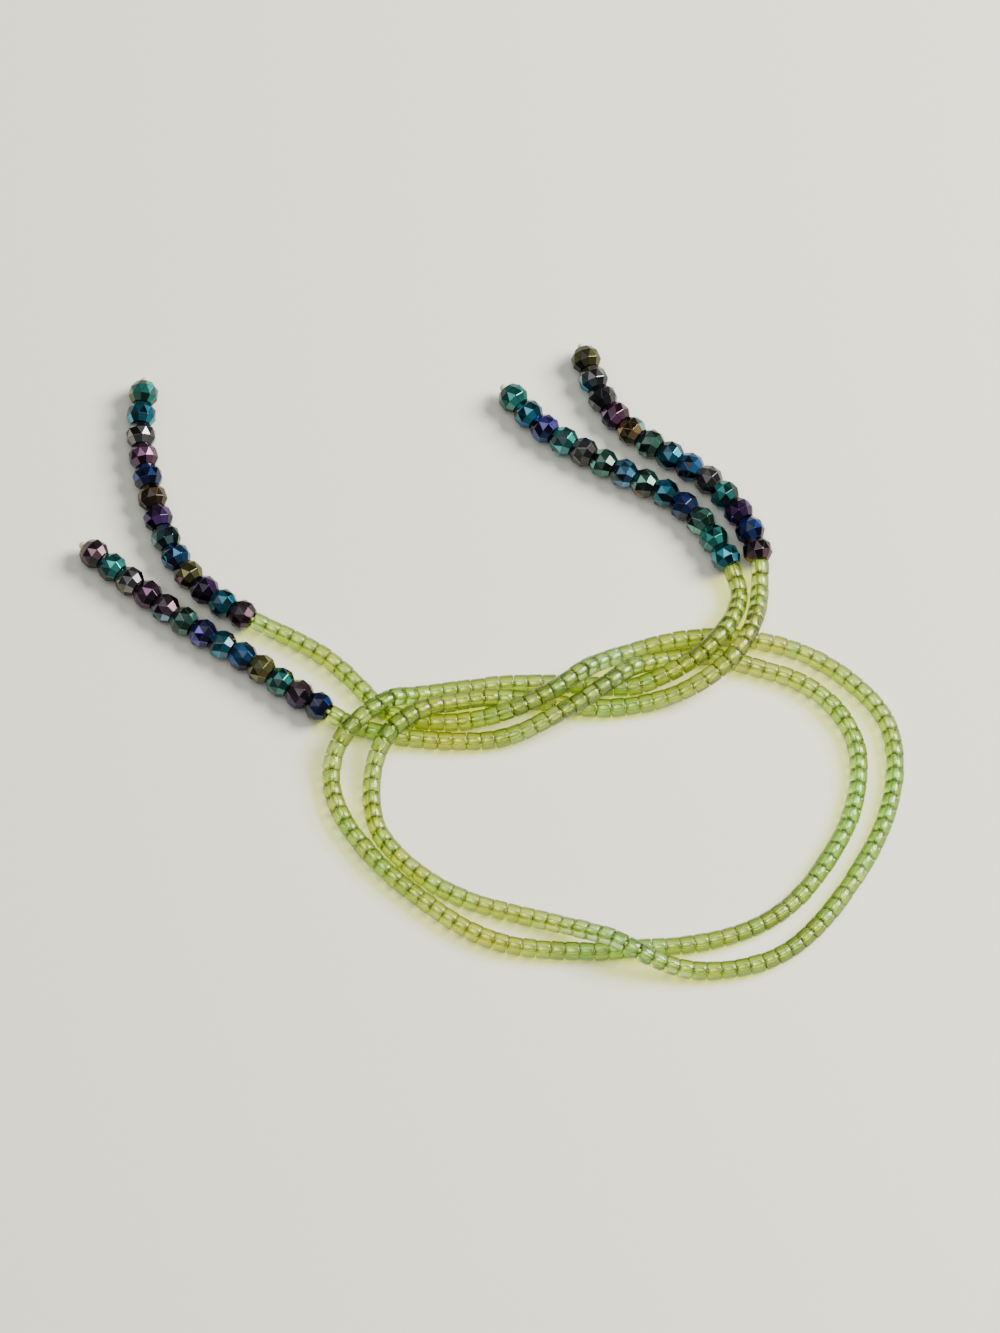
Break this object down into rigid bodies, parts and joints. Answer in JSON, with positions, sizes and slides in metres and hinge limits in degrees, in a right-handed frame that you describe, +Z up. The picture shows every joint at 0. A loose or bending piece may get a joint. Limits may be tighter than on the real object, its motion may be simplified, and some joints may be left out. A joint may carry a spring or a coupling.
{
  "type": "beaded bracelet",
  "caption": "Open loop bracelet of fine green glass seed-bead strings, its ends wrapped round each other and finished in tails of dark iridescent faceted glass rondelles.",
  "frame": {"origin": "middle of the box round the bracelet as it lies, on the table", "axes": "+X to the right along the wrapped side of the loop, +Y away from the loop towards the tails, +Z up from the table"},
  "size_m": [0.1178, 0.0998, 0.0054],
  "materials": {
    "seed_glass": "translucent peridot green glass with a faint rainbow lustre, glossy",
    "rondelle_glass": "dark faceted glass with a metallic iris lustre of teal, blue, purple and bronze"
  },
  "bodies": {
    "root": {"first_seed_strand": "seed_glass", "second_seed_strand": "seed_glass", "first_left_tail": "rondelle_glass", "first_right_tail": "rondelle_glass", "second_left_tail": "rondelle_glass", "second_right_tail": "rondelle_glass"}
  },
  "joints": []
}
